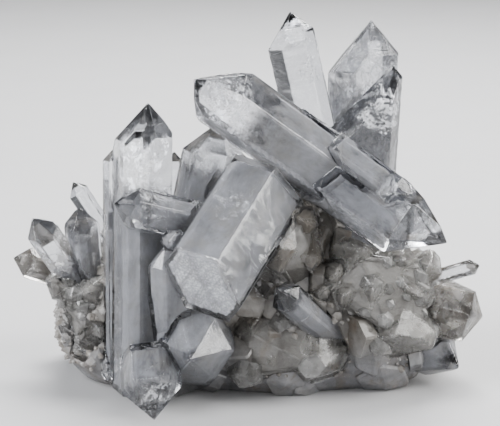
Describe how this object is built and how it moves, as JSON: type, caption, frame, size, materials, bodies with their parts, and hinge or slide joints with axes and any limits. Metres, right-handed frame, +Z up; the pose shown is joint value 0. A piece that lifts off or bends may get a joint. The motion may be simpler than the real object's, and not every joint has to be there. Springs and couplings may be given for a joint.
{
  "type": "quartz crystal cluster",
  "caption": "Free-standing cluster of clear and milky quartz crystals, pointed six-sided prisms leaning every way out of a rough rock base.",
  "frame": {"origin": "centre of the bounding box at the level of the flat base", "axes": "+Z up, +X to the right along the width, +Y to the back; the front with the great crystals faces -Y"},
  "size_m": [0.1484, 0.0914, 0.1174],
  "materials": {
    "clear_quartz": "clear, glossy crystal faces with veils and healed cracks inside",
    "milky_quartz": "glossy crystal faces over cool white, cloudy quartz",
    "frosted_quartz": "dull, finely etched crystal faces",
    "smoky_quartz": "half clear, grey-brown quartz with glossy faces",
    "matrix": "rough grey-brown vein quartz with iron stains"
  },
  "bodies": {
    "root": {"great_diagonal": "clear_quartz", "diagonal_rider": "milky_quartz", "lower_diagonal": "clear_quartz", "centre_block": "milky_quartz", "left_tower": "milky_quartz", "top_spire": "clear_quartz", "right_spire_front": "clear_quartz", "right_spire": "clear_quartz", "leaning_crystal": "milky_quartz", "front_eye": "milky_quartz", "down_pointer": "clear_quartz", "front_upright": "milky_quartz", "tablet": "clear_quartz", "tower_slab": "milky_quartz", "tower_flank": "milky_quartz", "tower_shoulder": "clear_quartz", "tower_foot": "milky_quartz", "tablet_button": "milky_quartz", "block_sliver": "clear_quartz", "frosted_foot": "frosted_quartz", "hearth_high": "smoky_quartz", "hearth_low": "smoky_quartz", "hearth_foot": "frosted_quartz", "left_spike": "clear_quartz", "left_clear": "clear_quartz", "left_blunt": "clear_quartz", "left_round": "smoky_quartz", "left_low": "smoky_quartz", "left_shard": "clear_quartz", "left_crumb_high": "frosted_quartz", "left_crumb_low": "frosted_quartz", "left_knuckle": "frosted_quartz", "middle_left": "smoky_quartz", "middle_right": "smoky_quartz", "middle_high": "smoky_quartz", "middle_low": "smoky_quartz", "crowd_one": "frosted_quartz", "crowd_two": "frosted_quartz", "crowd_three": "frosted_quartz", "crowd_four": "frosted_quartz", "crowd_five": "frosted_quartz", "crowd_six": "frosted_quartz", "crowd_seven": "frosted_quartz", "crowd_eight": "frosted_quartz", "great_lump": "frosted_quartz", "right_needle": "clear_quartz", "right_hexagon": "smoky_quartz", "right_tail": "milky_quartz", "right_chip": "smoky_quartz", "back_tower": "milky_quartz", "back_spire": "clear_quartz", "back_leaner": "milky_quartz", "back_diagonal": "clear_quartz", "back_low_left": "milky_quartz", "back_low_middle": "frosted_quartz", "back_low_right": "frosted_quartz", "back_stub_left": "smoky_quartz", "back_end": "frosted_quartz", "matrix_rock": "matrix"}
  },
  "joints": []
}
